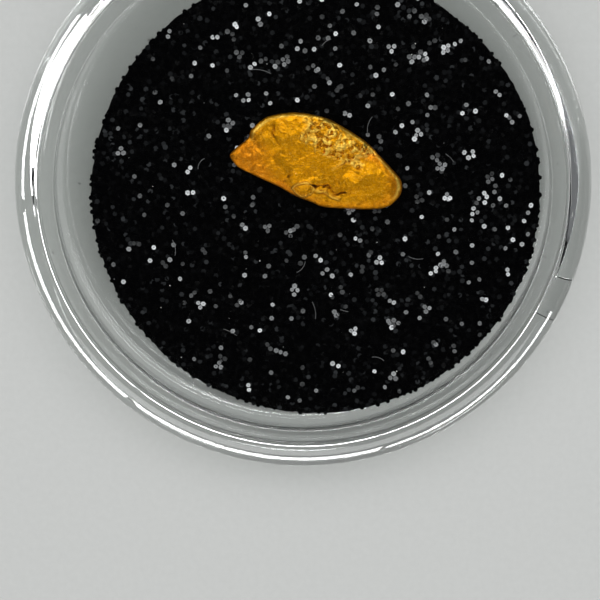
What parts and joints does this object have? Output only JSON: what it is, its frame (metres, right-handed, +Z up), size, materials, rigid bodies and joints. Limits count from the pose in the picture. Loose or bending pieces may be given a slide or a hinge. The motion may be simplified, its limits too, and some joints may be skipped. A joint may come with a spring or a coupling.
{
  "type": "display capsule with gold nugget",
  "caption": "Clear round two-part display capsule with a loose glitter-coated foam disc and a natural gold nugget glued to it.",
  "frame": {"origin": "centre of the base's underside, which is the centre of the bottom face of the whole object's box", "axes": "+Z up, out through the lid's window; +Y towards the nugget's upper lobe; +X towards its blunt end"},
  "size_m": [0.032, 0.032, 0.0058],
  "materials": {
    "clear_plastic": "gloss",
    "black_foam": "matte",
    "glitter_coat": "satin",
    "glitter_flake": "polished",
    "clear_glue": "gloss",
    "native_gold": "satin"
  },
  "bodies": {
    "base": {"capsule_base": "clear_plastic"},
    "lid": {"capsule_lid": "clear_plastic"},
    "insert": {"foam_disc": "black_foam", "glitter_film": "glitter_coat", "glitter_flakes": "glitter_flake", "glue_dot": "clear_glue", "gold_nugget": "native_gold"}
  },
  "joints": [
    {"name": "lid_lift", "type": "slide", "parent": "base", "child": "lid", "axis": [0, 0, 1], "range_m": [0, 0.018]},
    {"name": "insert_slide", "type": "slide", "parent": "base", "child": "insert", "axis": [-0.809, 0.5878, 0], "range_m": [0, 0.00188]}
  ]
}
